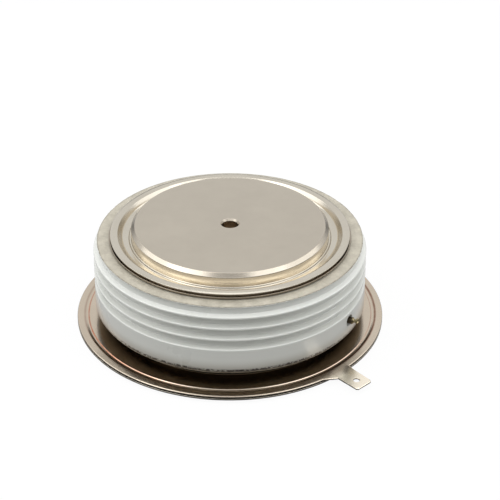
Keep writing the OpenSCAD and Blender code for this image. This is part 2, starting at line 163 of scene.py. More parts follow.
def make_piece(name, points, faces, slot, *replaced):
    """Object of that name from points in mm, and from faces as an array of corner numbers."""
    points, faces = points.reshape(-1, 3) * MM, faces.reshape(-1, 4)
    used, faces = np.unique(faces, return_inverse=True)
    mesh = bpy.data.meshes.new(name)
    mesh.from_pydata(points[used].tolist(), [], faces.reshape(-1, 4).tolist())
    work = bmesh.new()
    work.from_mesh(mesh)
    bmesh.ops.remove_doubles(work, verts=work.verts, dist=WELD_DISTANCE)
    bmesh.ops.recalc_face_normals(work, faces=work.faces)
    if work.calc_volume(signed=True) < 0:
        bmesh.ops.reverse_faces(work, faces=work.faces)
    open_edges = sum(not e.is_manifold for e in work.edges)
    volume = work.calc_volume(signed=True) / MM**3
    work.to_mesh(mesh)
    work.free()
    mesh.shade_smooth()
    mesh.set_sharp_from_angle(angle=SHARP_ANGLE)
    piece = bpy.data.objects.new(name, mesh)
    bpy.context.collection.objects.link(piece)
    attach(piece, "root")
    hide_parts(*replaced)
    print(f"{name}: {len(mesh.polygons)} faces, {open_edges} open edges, {volume:.1f} mm3")
    return piece


def turned_piece(name, corners, slot, *replaced, closed=True):
    """Piece turned from one section of (r, z, radius) corners."""
    section = rounded(corners, closed).T
    grid = lathe(section, EVEN_TURN)
    return make_piece(name, grid, quads(len(grid), COLUMNS, closed), slot, *replaced)


# %% [markdown]
# ## Anode pole
# The pole is a copper slug, nickel plated, with a lapped contact face, a chamfer that catches the
# light, and a blind hole in the middle that locates the heat sink. Its section starts and ends on
# the axis, so it isn't a closed line, and the lathe closes it there.

# %% Anode pole
TOTAL_H = 26.0
POLE_R = 23.75
BODY_R = 25.0
CHAMFER = 0.9
HOLE_R = 1.95
HOLE_FLOOR_Z = TOTAL_H - 2.6
HOLE_BEVEL = 0.34
HOLE_BEVEL_H = 0.48
POLE_FOOT_Z = 14.9
SHOULDER_Z = 22.0

anode_pole = turned_piece(
    "anode_pole",
    [
        (0, POLE_FOOT_Z, 0),
        (BODY_R, POLE_FOOT_Z, 0.2),
        (BODY_R, SHOULDER_Z, 0.1),
        (POLE_R, SHOULDER_Z, 0.05),
        (POLE_R, TOTAL_H - CHAMFER, 0.3),
        (POLE_R - CHAMFER, TOTAL_H, 0.3),
        (HOLE_R + HOLE_BEVEL, TOTAL_H, 0.06),
        (HOLE_R, TOTAL_H - HOLE_BEVEL_H, 0.06),
        (HOLE_R, HOLE_FLOOR_Z, 0.15),
        (0, HOLE_FLOOR_Z, 0),
    ],
    "nickel",
    "anode_pole_piece",
    closed=False,
)

# %% [markdown]
# ## Anode diaphragm
# The diaphragm is a pressed sheet ring that joins the pole to the ceramic and gives way when the
# copper grows with heat. A collar hugs the pole, then come a trough, a slope, a raised crown with a
# rolled edge, and below it the lip of the seam. Pressed sheet is never quite even, so the crown
# wanders by some hundredths of a millimetre, which makes its highlights swell and thin.

# %% Anode diaphragm
SHEET_T = 0.5
COLLAR_R = POLE_R + SHEET_T
COLLAR_TOP_Z = 22.95
TROUGH_Z = 22.5
TROUGH_R = 26.45
SLOPE_W = 1.35
SLOPE_BEND = 1.1
CROWN_R = 28.8
CROWN_Z = 24.1
CROWN_FALL = 0.08
CROWN_ROLL = 0.55
LIP_R = 29.1
LIP_T = 0.35
LIP_Z = PLATED_END_Z + 0.32
SEAM_R = CROWN_R - 0.55
SLOPE_IN_R = TROUGH_R - SLOPE_W / 2
SLOPE_OUT_R = TROUGH_R + SLOPE_W / 2
SLOPE_TOP_Z = CROWN_Z - CROWN_FALL
BRAZE_GAP = 0.03
UNDER_SHIFT = 0.25
SLOPE_STEEPER = 0.08
COLLAR_LEAN = 0.125


def unevenness(azimuths, seed, waves, fading=0.7):
    """Closed random line between about -1 and 1: a sum of sine waves that go a whole number of
    times round, with random phases and heights that fade as the number of waves grows."""
    random = np.random.default_rng(seed)
    count = np.array(waves, float)[:, None]
    phase = random.uniform(0, 2 * np.pi, (len(waves), 1))
    height = count**-fading
    return np.sum(height * np.sin(count * azimuths + phase), axis=0) / np.sum(height) * 2


diaphragm_section = rounded(
    [
        (POLE_R + BRAZE_GAP, SHOULDER_Z, 0.05),
        (SLOPE_IN_R + UNDER_SHIFT, SHOULDER_Z, SLOPE_BEND),
        (SLOPE_OUT_R + UNDER_SHIFT, SLOPE_TOP_Z - SHEET_T, 0.1),
        (SEAM_R - SHEET_T, SLOPE_TOP_Z - SHEET_T, 0.05),
        (SEAM_R - SHEET_T, PLATED_END_Z, 0.05),
        (SEAM_R, PLATED_END_Z, 0.03),
        (SEAM_R, LIP_Z, 0.03),
        (LIP_R, LIP_Z, 0.05),
        (LIP_R, LIP_Z + LIP_T, 0.1),
        (SEAM_R, LIP_Z + LIP_T, 0.03),
        (SEAM_R, CROWN_Z - LIP_T, 0.03),
        (CROWN_R, CROWN_Z - LIP_T, 0.04),
        (CROWN_R, CROWN_Z - LIP_T / 2, 0.09),
        (CROWN_R - CROWN_ROLL, CROWN_Z, 0.6),
        (SLOPE_OUT_R - SLOPE_STEEPER, SLOPE_TOP_Z, 0.28),
        (SLOPE_IN_R + SLOPE_STEEPER, TROUGH_Z, 1.2 * SLOPE_BEND),
        (COLLAR_R + COLLAR_LEAN, TROUGH_Z, 0.25),
        (COLLAR_R - COLLAR_LEAN, COLLAR_TOP_Z, 0.22),
        (POLE_R + BRAZE_GAP, COLLAR_TOP_Z, 0.05),
    ]
).T
CROWN_WANDER = 0.02
WANDER_SIDEWAYS = 0.5
WANDER_SHIFT = 40
crown_share = np.clip((diaphragm_section[1] - PLATED_END_Z) / (CROWN_Z - PLATED_END_Z), 0, 1)
crown_share = crown_share * (diaphragm_section[0] > COLLAR_R + 1)
crown_wander = CROWN_WANDER * unevenness(EVEN_TURN, 3, range(2, 19))
diaphragm_grid = lathe(
    (
        diaphragm_section[0][:, None] + WANDER_SIDEWAYS * crown_share[:, None] * crown_wander,
        diaphragm_section[1][:, None] + crown_share[:, None] * np.roll(crown_wander, WANDER_SHIFT),
    ),
    EVEN_TURN,
)
anode_diaphragm = make_piece(
    "anode_diaphragm_sheet", diaphragm_grid, quads(len(diaphragm_grid), COLUMNS), "nickel", "anode_diaphragm"
)

# %% [markdown]
# ## Plated ends of the ceramic
# Solder doesn't wet ceramic, so each end is painted with metal, fired and plated, and the sheet is
# brazed to that ring. The paint was brushed on, so its outer edge is ragged. A ragged edge is a
# radius that changes with the azimuth: only the outer part of the section moves in and out.

# %% Plated rings
BRAZE_IN_R = 27.5
PLATED_R = 32.0
PLATING_T = 0.2
FEATHER_T = 0.06
FEATHER_W = 1.6
NOSE_R = 32.9
CERAMIC_BOTTOM_Z = 5.1
LOWER_CHAMFER = 0.5
PLATED_COLUMNS = 768
PLATED_TURN = np.linspace(0, 2 * np.pi, PLATED_COLUMNS, endpoint=False)


def plated_ring(name, outer_r, low_z, raggedness, seed, node):
    """Flat ring whose outer edge stands back from outer_r by a random line that is never negative."""
    high_z = low_z + PLATING_T
    section = rounded(
        [
            (BRAZE_IN_R, low_z, 0.02),
            (outer_r, low_z, 0.02),
            (outer_r, low_z + FEATHER_T, 0.03),
            (outer_r - FEATHER_W, high_z, 3.0),
            (BRAZE_IN_R, high_z, 0.02),
        ]
    ).T
    rough = unevenness(PLATED_TURN, seed, range(7, 210, 3), fading=0.35)
    patches = 0.5 + 0.5 * unevenness(PLATED_TURN, seed + 1, range(2, 9))
    standing_back = raggedness * np.abs(rough) * np.clip(patches, 0.15, 1)
    share = np.clip((section[0] - BRAZE_IN_R) / (outer_r - BRAZE_IN_R), 0, 1)
    grid = lathe((section[0][:, None] - share[:, None] * standing_back, section[1]), PLATED_TURN)
    return make_piece(name, grid, quads(len(grid), PLATED_COLUMNS), "plating", node)


anode_plating = plated_ring(
    "anode_plating", PLATED_R, PLATED_END_Z - PLATING_T, 0.3, 11, "anode_braze_ring"
)
cathode_plating = plated_ring(
    "cathode_plating", NOSE_R - LOWER_CHAMFER, CERAMIC_BOTTOM_Z - PLATING_T, 0.35, 23, "cathode_braze_ring"
)

# %% [markdown]
# ## Drilling a grid
# Two pieces have a round hole through their side or face, which a lathe can't turn. We cut a
# rectangular block of faces out of the grid on both sides of the wall and join the two openings by
# a run of loops: from the block's border to a circle, down the hole, and out to the other border.
# All loops have as many points as the border, so each pair is joined by plain quads.

# %% Holes through a grid
def border(rows, columns, width):
    """Numbers of the points round a block of the grid, once round from its first corner."""
    rows, columns = np.asarray(rows), np.asarray(columns)
    return np.concatenate(
        [
            rows[0] * width + columns[:-1],
            rows[:-1] * width + columns[-1],
            rows[-1] * width + columns[:0:-1],
            rows[:0:-1] * width + columns[0],
        ]
    )


def drilled(grid, faces, near_rows, far_rows, columns, loops):
    """Points and faces of a grid with a hole. Both row lists run the same way along the hole's
    side, and loops is an array of loops x points x 3 that lead from the near to the far side."""
    width = grid.shape[1]
    keep = np.ones(faces.shape[:2], bool)
    for rows in (near_rows, far_rows):
        keep[min(rows) : max(rows), columns[0] : columns[-1]] = False
    first_new = grid.shape[0] * width
    new = first_new + np.arange(loops.shape[0] * loops.shape[1]).reshape(loops.shape[:2])
    chain = np.concatenate(
        [border(near_rows, columns, width)[None], new, border(far_rows, columns, width)[None]]
    )
    ahead = np.roll(chain, -1, axis=1)
    walls = np.stack([chain[:-1], ahead[:-1], ahead[1:], chain[1:]], axis=-1)
    points = np.concatenate([grid.reshape(-1, 3), loops.reshape(-1, 3)])
    return points, np.concatenate([faces[keep], walls.reshape(-1, 4)])


# %% [markdown]
# ## Ceramic ring
# The ring is pressed alumina with a white glaze. Ribs lengthen the way that a spark would have to
# creep along the surface. Below them a plain band carries the gate lead, which leaves through a
# counterbored hole. Each rib is a fin with a round nose, and a groove with a set-back wall lies
# between two of them. One function gives a groove and the rib below it, and four of them make the
# section, because the plain band begins like a rib.

# %% Ceramic ring
BORE_R = 27.4
CERAMIC_TOP_Z = 22.4
RIB_DEPTH = 1.5
FIRST_GROOVE = 0.3
RIB_PITCH = 2.93
RIB_NOSE = 0.55
RIB_FALL = 0.3
RIB_EDGES = 19.65 - RIB_PITCH * np.arange(3)
GATE_AZIMUTH = math.radians(-30)
GATE_Z = 9.2
GATE_HOLE_R = 0.88
RECESS_R = 1.35
RECESS_FLOOR_R = NOSE_R - 1.3
BLOCK_HALF = 1.75
BLOCK_CELLS = 12


def groove_and_rib(edge_r, edge_z, groove_r, rib_z):
    """Corners of one lower edge, the groove under it and the rib below, from the top down."""
    return [
        (edge_r, edge_z, 0.14),
        (groove_r, edge_z - RIB_NOSE / 3, 0.14),
        (groove_r, rib_z + RIB_NOSE + RIB_FALL, 0.28),
        (NOSE_R, rib_z + RIB_NOSE, 0.33),
    ]


GROOVE_R = NOSE_R - RIB_DEPTH
outside = groove_and_rib(PLATED_R, CERAMIC_TOP_Z - PLATING_T, PLATED_R - FIRST_GROOVE, RIB_EDGES[0])
for edge_z in RIB_EDGES:
    outside += groove_and_rib(NOSE_R, edge_z, GROOVE_R, edge_z - RIB_PITCH)
ceramic_section = rounded(
    [
        (BORE_R, CERAMIC_BOTTOM_Z, 0.1),
        (NOSE_R - LOWER_CHAMFER, CERAMIC_BOTTOM_Z, 0.1),
        (NOSE_R, CERAMIC_BOTTOM_Z + LOWER_CHAMFER, 0.25),
        *reversed(outside),
        (PLATED_R, CERAMIC_TOP_Z, 0.05),
        (BORE_R, CERAMIC_TOP_Z, 0.1),
    ]
)
block_z = GATE_Z + np.linspace(-BLOCK_HALF, BLOCK_HALF, BLOCK_CELLS + 1)
points_per_corner = ARC_STEPS + 3
after_lower_edge = 3 * points_per_corner
ceramic_section = np.insert(
    ceramic_section, after_lower_edge, np.stack([np.full_like(block_z, NOSE_R), block_z], axis=1), axis=0
)
ceramic_section = np.append(
    ceramic_section, np.stack([np.full_like(block_z, BORE_R), block_z[::-1]], axis=1), axis=0
)
block_angle = BLOCK_HALF / NOSE_R
gate_turn = GATE_AZIMUTH + np.linspace(-block_angle, block_angle, BLOCK_CELLS + 1)
rest_turn = np.linspace(gate_turn[-1], gate_turn[0] + 2 * np.pi, COLUMNS - BLOCK_CELLS)[1:-1]
ceramic_turn = np.concatenate([gate_turn, rest_turn])
ceramic_grid = lathe(ceramic_section.T, ceramic_turn)

near_rows = after_lower_edge + np.arange(BLOCK_CELLS + 1)
far_rows = len(ceramic_section) - 1 - np.arange(BLOCK_CELLS + 1)
gate_columns = np.arange(BLOCK_CELLS + 1)
border_points = ceramic_grid.reshape(-1, 3)[border(near_rows, gate_columns, len(ceramic_turn))]
gate_out = np.array([math.cos(GATE_AZIMUTH), math.sin(GATE_AZIMUTH), 0])
gate_side = np.array([-math.sin(GATE_AZIMUTH), math.cos(GATE_AZIMUTH), 0])
gate_up = np.array([0, 0, 1.0])
around = np.arctan2(border_points[:, 2] - GATE_Z, border_points @ gate_side)


def gate_loop(radius, out):
    """Circle round the gate's axis, at a distance from the ring's axis, or on the ceramic's skin
    where that distance is None: there it is the root of the skin's radius squared less side squared."""
    side, rise = radius * np.cos(around), GATE_Z + radius * np.sin(around)
    reach = np.sqrt(NOSE_R**2 - side**2) if out is None else np.full_like(side, out)
    return reach[:, None] * gate_out + side[:, None] * gate_side + rise[:, None] * gate_up


GATE_HOLE_STEPS = [
    (RECESS_R + 0.10, None),
    (RECESS_R + 0.08, None),
    (RECESS_R + 0.02, NOSE_R - 0.09),
    (RECESS_R, NOSE_R - 0.17),
    (RECESS_R, RECESS_FLOOR_R + 0.12),
    (RECESS_R - 0.03, RECESS_FLOOR_R + 0.04),
    (RECESS_R - 0.12, RECESS_FLOOR_R),
    (GATE_HOLE_R, RECESS_FLOOR_R),
    (GATE_HOLE_R, BORE_R),
]
gate_loops = np.stack([gate_loop(*step) for step in GATE_HOLE_STEPS])
ceramic_points, ceramic_faces = drilled(
    ceramic_grid,
    quads(len(ceramic_section), len(ceramic_turn)),
    near_rows,
    far_rows,
    gate_columns,
    gate_loops,
)
ceramic_body = make_piece("ceramic_body", ceramic_points, ceramic_faces, "glaze", "ceramic_ring")

# %% [markdown]
# ## Gate eyelet
# The gate lead leaves through a small tube, brazed into the counterbore by its collar and flared at
# the end so that a wire can be soldered in. It is a lathe piece like the others, turned about the
# gate's own axis: its r runs sideways and its z runs outwards from the ring. Outside the ceramic
# tube and lead are bent up a little, by a rise that grows with the distance from the ring.

# %% Gate eyelet
TUBE_R = 0.85
TUBE_BORE_R = 0.28
TUBE_IN = 26.75
TUBE_OUT = 35.1
TUBE_BODY_OUT = NOSE_R + 0.8
NECK_TUBE_R = 0.425
BEAD_R = 0.7
BEAD_LEN = 0.4
MOUTH = 0.2
EYELET_COLLAR_R = 1.25
EYELET_COLLAR_T = 0.5
EYELET_COLUMNS = 64
TUBE_RISE = 0.45
LEAD_R = 0.25
LEAD_IN = 0.1
NECK_TAPER = 0.4
LEAD_OUT = TUBE_OUT - BEAD_LEN
BENT_PLACES = np.linspace(LEAD_OUT, NOSE_R, 14)


def along_gate(section):
    """Grid turned about the gate's axis and bent up outside the ring, by the rise times the share
    of the way to the tube's end to the power 1.5."""
    grid = lathe(section, np.linspace(0, 2 * np.pi, EYELET_COLUMNS, endpoint=False))
    share = np.clip((section[1] - NOSE_R) / (TUBE_OUT - NOSE_R), 0, 1)
    height = grid[..., 1:2] + GATE_Z + TUBE_RISE * (share**1.5)[:, None, None]
    return grid[..., 2:] * gate_out + grid[..., :1] * gate_side + height * gate_up


eyelet_section = rounded(
    [
        (TUBE_BORE_R, TUBE_IN, 0.03),
        (TUBE_R, TUBE_IN, 0.05),
        (TUBE_R, RECESS_FLOOR_R, 0.05),
        (EYELET_COLLAR_R, RECESS_FLOOR_R, 0.05),
        (EYELET_COLLAR_R, RECESS_FLOOR_R + EYELET_COLLAR_T, 0.15),
        (TUBE_R, RECESS_FLOOR_R + EYELET_COLLAR_T, 0.15),
        (TUBE_R, TUBE_BODY_OUT, 0.2),
        (NECK_TUBE_R, TUBE_BODY_OUT + NECK_TAPER, 0.2),
        (NECK_TUBE_R, TUBE_OUT - BEAD_LEN, 0.1),
        (BEAD_R, TUBE_OUT - BEAD_LEN, 0.15),
        (BEAD_R, TUBE_OUT, 0.12),
        (TUBE_BORE_R + MOUTH, TUBE_OUT, 0.06),
        (TUBE_BORE_R, TUBE_OUT - MOUTH, 0.06),
    ]
)
bore_places = np.stack([np.full_like(BENT_PLACES, TUBE_BORE_R), BENT_PLACES], axis=1)
eyelet_grid = along_gate(np.concatenate([eyelet_section, bore_places]).T)
gate_eyelet = make_piece(
    "gate_eyelet", eyelet_grid, quads(len(eyelet_grid), EYELET_COLUMNS), "gate_metal", "gate_tube"
)
lead_places = np.concatenate([[LEAD_IN], BENT_PLACES[::-1]])
lead_section = np.stack([np.full_like(lead_places, LEAD_R), lead_places], axis=1)
lead_section = np.concatenate([[(0, LEAD_IN)], lead_section, [(0, LEAD_OUT)]])
lead_grid = along_gate(lead_section.T)
gate_wire = make_piece(
    "gate_wire", lead_grid, quads(len(lead_grid), EYELET_COLUMNS, closed=False), "copper", "gate_lead"
)

# %% [markdown]
# ## Weld flange and its tab
# The upper flange is pressed from sheet: a neck under the ceramic, a flat rim, and a tab for the
# auxiliary cathode wire. When the case is closed, both rims are squeezed together until they weld
# cold, which leaves a pressed groove. Seen from the axis each direction meets the outline once, so
# the outline, tab and all, is one radius for each azimuth, and the rim's rows stretch out to it.

# %% Weld flange
FLANGE_T = 0.55
JOINT_Z = 1.31
FLANGE_TOP_Z = JOINT_Z + FLANGE_T
NECK_TOP_Z = 4.9
NECK_R = CROWN_R
RIM_R = 37.5
RIM_GAP = 0.3
RIM_LOW_Z = JOINT_Z + RIM_GAP / 2
GROOVE_OUT_R = 35.75
GROOVE_IN_R = 34.6
GROOVE_DEPTH = 0.16
GROOVE_FLOOR_R = 35.1
GROOVE_FLOOR_Z = FLANGE_TOP_Z - GROOVE_DEPTH
RIM_BAND_R = GROOVE_OUT_R + RIM_GAP
TAB_AZIMUTH = math.radians(-45.5)
TAB_HOLE_AT = 42.4
TAB_HOLE_R = 0.775
TAB_BEND = 0.35
TAB_TIP_R = 45.0
HOLE_HALF = 1.3
EDGE_BAND = 0.2
SIDE_STEPS, GUSSET_STEPS, ROOT_STEPS, PLAIN_STEPS = 12, 24, 8, 224
ROOT_MARGIN = 0.001
TAB_OUTLINE = np.array(
    [
        (36.35, -6.8),
        (39.1, -2.6),
        (44.6, -2.45),
        (TAB_TIP_R, -2.05),
        (TAB_TIP_R, 2.05),
        (44.6, 2.45),
        (39.1, 2.6),
        (37.5, 3.0),
        (36.35, 3.0),
    ]
)


def outline_radius(angles):
    """Distance from the axis to the flange's edge: where the ray at each angle meets the tab's
    sides, found by cross products, or the round rim where that is further out."""
    start, side = TAB_OUTLINE[:-1], np.diff(TAB_OUTLINE, axis=0)
    ray = np.stack([np.cos(angles), np.sin(angles)], axis=-1)[:, None]
    slant = ray[..., 0] * side[:, 1] - ray[..., 1] * side[:, 0]
    reach = (start[:, 0] * side[:, 1] - start[:, 1] * side[:, 0]) / slant
    along = (start[:, 0] * ray[..., 1] - start[:, 1] * ray[..., 0]) / slant
    meets = (along > -1e-9) & (along < 1 + 1e-9) & (reach > 0)
    return np.maximum(RIM_R, np.where(meets, reach, 0).max(axis=1))


corner_angles = np.arctan2(TAB_OUTLINE[:, 1], TAB_OUTLINE[:, 0])
hole_angle = HOLE_HALF / TAB_HOLE_AT
hole_turn = np.linspace(-hole_angle, hole_angle, BLOCK_CELLS + 1)
side_turn = np.linspace(corner_angles[2], corner_angles[1], SIDE_STEPS)
other_side_turn = np.linspace(corner_angles[5], corner_angles[6], SIDE_STEPS)
gusset_turn = np.linspace(corner_angles[0], corner_angles[1], GUSSET_STEPS)
root_turn = np.linspace(corner_angles[6], corner_angles[7] + ROOT_MARGIN, ROOT_STEPS)
tab_turn = np.concatenate(
    [gusset_turn, side_turn, corner_angles[2:6], hole_turn, other_side_turn, root_turn]
)
tab_turn = np.unique(np.round(tab_turn, 6))
plain_turn = np.linspace(tab_turn[-1], tab_turn[0] + 2 * np.pi, PLAIN_STEPS)[1:-1]
flange_turn = np.concatenate([tab_turn, plain_turn])
reach = outline_radius(flange_turn)

flange_section = rounded(
    [
        (BRAZE_IN_R, NECK_TOP_Z - FLANGE_T, 0.05),
        (NECK_R - FLANGE_T, NECK_TOP_Z - FLANGE_T, 0.18),
        (NECK_R - FLANGE_T, JOINT_Z, 0.05),
        (GROOVE_OUT_R, JOINT_Z, 0.05),
        (RIM_BAND_R, RIM_LOW_Z, 0.05),
        (RIM_R, RIM_LOW_Z, 0.08),
        (RIM_R, FLANGE_TOP_Z, 0.3),
        (GROOVE_OUT_R, FLANGE_TOP_Z, 0.2),
        (GROOVE_FLOOR_R, GROOVE_FLOOR_Z, 0.2),
        (GROOVE_IN_R + GROOVE_DEPTH, GROOVE_FLOOR_Z, 0.08),
        (GROOVE_IN_R, FLANGE_TOP_Z, 0.1),
        (NECK_R, FLANGE_TOP_Z, 0.3),
        (NECK_R, NECK_TOP_Z, 0.2),
        (BRAZE_IN_R, NECK_TOP_Z, 0.05),
    ]
)
RIM_LINE_R = RIM_R - EDGE_BAND
TAB_LINE_R = TAB_TIP_R - EDGE_BAND
block_r = TAB_HOLE_AT + np.linspace(-HOLE_HALF, HOLE_HALF, BLOCK_CELLS + 1)
band_share = (block_r - RIM_BAND_R) / (TAB_LINE_R - RIM_BAND_R)
band_r = RIM_BAND_R + band_share * (RIM_LINE_R - RIM_BAND_R)
under_rim = 5 * points_per_corner
over_rim = 7 * points_per_corner
flange_section = np.insert(
    flange_section, over_rim, np.stack([band_r[::-1], np.full_like(band_r, FLANGE_TOP_Z)], axis=1), axis=0
)
flange_section = np.insert(
    flange_section, under_rim, np.stack([band_r, np.full_like(band_r, RIM_LOW_Z)], axis=1), axis=0
)
over_rim += len(band_r)
stretch = np.clip((flange_section[:, 0] - RIM_BAND_R) / (RIM_LINE_R - RIM_BAND_R), 0, 1)
stretch[: 3 * points_per_corner] = 0
flange_r = flange_section[:, :1] + stretch[:, None] * (reach - RIM_R)
flange_grid = lathe((flange_r, flange_section[:, 1]), flange_turn)

first_hole_column = int(np.argmin(np.abs(flange_turn - hole_turn[0])))
hole_columns = first_hole_column + np.arange(BLOCK_CELLS + 1)
top_rows = over_rim + len(band_r) - 1 - np.arange(BLOCK_CELLS + 1)
low_rows = under_rim + np.arange(BLOCK_CELLS + 1)
hole_border = flange_grid.reshape(-1, 3)[border(top_rows, hole_columns, len(flange_turn))]
round_hole = np.arctan2(hole_border[:, 1], hole_border[:, 0] - TAB_HOLE_AT)


def hole_loop(radius, z):
    """Circle round the tab's hole at one height, in the tab's own direction."""
    side = radius * np.sin(round_hole)
    return np.stack([TAB_HOLE_AT + radius * np.cos(round_hole), side, np.full_like(side, z)], axis=-1)


HOLE_BREAK = 0.05
TAB_HOLE_STEPS = [
    (TAB_HOLE_R + HOLE_BREAK + GUARD, FLANGE_TOP_Z),
    (TAB_HOLE_R + HOLE_BREAK, FLANGE_TOP_Z),
    (TAB_HOLE_R, FLANGE_TOP_Z - HOLE_BREAK),
    (TAB_HOLE_R, RIM_LOW_Z + HOLE_BREAK),
    (TAB_HOLE_R + HOLE_BREAK, RIM_LOW_Z),
    (TAB_HOLE_R + HOLE_BREAK + GUARD, RIM_LOW_Z),
]
hole_loops = np.stack([hole_loop(*step) for step in TAB_HOLE_STEPS])
flange_points, flange_faces = drilled(
    flange_grid, quads(len(flange_section), len(flange_turn)), top_rows, low_rows, hole_columns, hole_loops
)
flange_points[:, 2] -= TAB_BEND * np.clip((flange_points[:, 0] - RIM_R) / (TAB_TIP_R - RIM_R), 0, 1)
cos_tab, sin_tab = math.cos(TAB_AZIMUTH), math.sin(TAB_AZIMUTH)
turn_to_tab = np.array([[cos_tab, sin_tab, 0], [-sin_tab, cos_tab, 0], [0, 0, 1]])
weld_flange = make_piece(
    "weld_flange_sheet", flange_points @ turn_to_tab, flange_faces, "nickel", "weld_flange"
)

# %% [markdown]
# ## Cap flange
# The lower sheet closes the case: its rim lies under the weld flange, its wall rises to a trough
# like the anode's, and its collar is brazed to the cathode pole. From above only the edge of its
# rim shows, but from below it is most of what one sees.

# %% Cap flange
CAP_LOW_Z = JOINT_Z - FLANGE_T
CAP_FLOOR_Z = 3.45
CAP_TOP_Z = 4.0
CAP_COLLAR_LOW_Z = 3.0

cap_flange = turned_piece(
    "cap_flange_sheet",
    [
        (TROUGH_R, CAP_LOW_Z, 0.25),
        (GROOVE_IN_R, CAP_LOW_Z, 0.08),
        (GROOVE_IN_R + GROOVE_DEPTH, CAP_LOW_Z + GROOVE_DEPTH, 0.08),
        (GROOVE_FLOOR_R, CAP_LOW_Z + GROOVE_DEPTH, 0.08),
        (GROOVE_OUT_R, CAP_LOW_Z, 0.08),
        (RIM_R, CAP_LOW_Z, 0.08),
        (RIM_R, JOINT_Z - RIM_GAP / 2, 0.08),
        (RIM_BAND_R, JOINT_Z - RIM_GAP / 2, 0.05),
        (GROOVE_OUT_R, JOINT_Z, 0.05),
        (TROUGH_R + FLANGE_T, JOINT_Z, 0.25),
        (TROUGH_R + FLANGE_T, CAP_TOP_Z, 0.25),
        (POLE_R + BRAZE_GAP, CAP_TOP_Z, 0.05),
        (POLE_R + BRAZE_GAP, CAP_COLLAR_LOW_Z, 0.05),
        (POLE_R + FLANGE_T, CAP_COLLAR_LOW_Z, 0.14),
        (POLE_R + FLANGE_T, CAP_FLOOR_Z, 0.14),
        (TROUGH_R, CAP_FLOOR_Z, 0.25),
    ],
    "nickel",
    "cap_flange",
)

# %% [markdown]
# ## Gate spring
# Under the gate's silver plunger sits a coil spring. A coil is a circle carried along a helix: for
# each place on the helix we need the helix point and two directions across the wire, sideways and
# nearly upwards. Each end runs down to a point that closes the tube.

# %% Gate spring
SPRING_R = 1.8
WIRE_R = 0.25
SPRING_TURNS = 4.5
SPRING_LOW_Z = 5.48
SPRING_HIGH_Z = 8.12


def spring_tube(places, sides):
    """Tube of wire radius along a helix. At share s of its length the helix point is at angle
    2 pi turns s and height low + (high - low) s, and the wire's circle lies across that angle."""
    share = np.linspace(0, 1, places)
    angle = 2 * np.pi * SPRING_TURNS * share
    centre_z = SPRING_LOW_Z + (SPRING_HIGH_Z - SPRING_LOW_Z) * share
    wire = np.ones(places) * WIRE_R
    wire[[0, -1]] = 0
    circle = np.linspace(0, 2 * np.pi, sides, endpoint=False)
    r = SPRING_R + wire[:, None] * np.cos(circle)
    z = centre_z[:, None] + wire[:, None] * np.sin(circle)
    return np.stack([r * np.cos(angle)[:, None], r * np.sin(angle)[:, None], z], axis=-1)


SPRING_PLACES = 220
SPRING_SIDES = 20
spring_grid = spring_tube(SPRING_PLACES, SPRING_SIDES)
gate_coil = make_piece(
    "gate_coil", spring_grid, quads(SPRING_PLACES, SPRING_SIDES, closed=False), "spring_steel", "gate_spring"
)

# %% [markdown]
# ## Shared surface effects
# Finishes have effects in common: a soft mottling from plating and handling, a fine grain, thin
# lines at a set radius, and bands at a set height. Each is a node group with named inputs, built
# once and placed in many materials. All read Object coordinates, which are metres in the CAD
# frame, so a pattern stays on the metal when the camera moves.

# %% Node helpers
def feed(tree, socket, value):
    """Links another socket to this input, or sets the input to a plain value."""
    if isinstance(value, bpy.types.NodeSocket):
        tree.links.new(value, socket)
    else:
        socket.default_value = value


def place(tree, kind, inputs=None, **options):
    """Adds a node, sets its options, and sets or links each input that is given."""
    made = tree.nodes.new(kind)
    for key, value in options.items():
        setattr(made, key, value)
    for key, value in (inputs or {}).items():
        feed(tree, made.inputs[key], value)
    return made


def math_node(tree, operation, *values):
    """Output of a Math node on up to three values or sockets."""
    return place(tree, "ShaderNodeMath", dict(enumerate(values)), operation=operation).outputs[0]


def limited(tree, value):
    """Value held between 0 and 1."""
    return math_node(tree, "MINIMUM", math_node(tree, "MAXIMUM", value, 0.0), 1.0)


# %% Places, noise and ramps
def coordinates(tree, kind="Object"):
    """Place on the surface, in metres of the CAD frame. In a world, Generated is a direction."""
    return place(tree, "ShaderNodeTexCoord").outputs[kind]


def axes_of(tree, kind="Object"):
    """X, Y and Z of that place or direction."""
    return place(tree, "ShaderNodeSeparateXYZ", {0: coordinates(tree, kind)}).outputs


def noise(tree, scale, detail, roughness):
    """Random value that changes smoothly over the surface, about 0.5 on average."""
    inputs = {"Vector": coordinates(tree), "Scale": scale, "Detail": detail, "Roughness": roughness}
    return place(tree, "ShaderNodeTexNoise", inputs).outputs["Fac"]


def ramp(tree, value, start=0.0, end=1.0, low=0.0, high=1.0, shape="LINEAR"):
    """Value that goes from low to high while the given one goes from start to end."""
    inputs = {"Value": value, "From Min": start, "From Max": end, "To Min": low, "To Max": high}
    return place(tree, "ShaderNodeMapRange", inputs, interpolation_type=shape).outputs[0]


# %% Group helpers
def new_group(name, inputs, outputs):
    """Empty shader group with float inputs, given with their usual values, and float outputs."""
    group = bpy.data.node_groups.new(name, "ShaderNodeTree")
    for label, value in inputs.items():
        socket = group.interface.new_socket(label, in_out="INPUT", socket_type="NodeSocketFloat")
        socket.default_value = value
    for label in outputs:
        group.interface.new_socket(label, in_out="OUTPUT", socket_type="NodeSocketFloat")
    entry = group.nodes.new("NodeGroupInput")
    leave = group.nodes.new("NodeGroupOutput")
    return group, entry.outputs, leave.inputs


def use_group(tree, group, **inputs):
    """Places a group in a tree and gives its outputs. Underscores in names stand for spaces."""
    named = {label.replace("_", " "): value for label, value in inputs.items()}
    return place(tree, "ShaderNodeGroup", named, node_tree=group).outputs


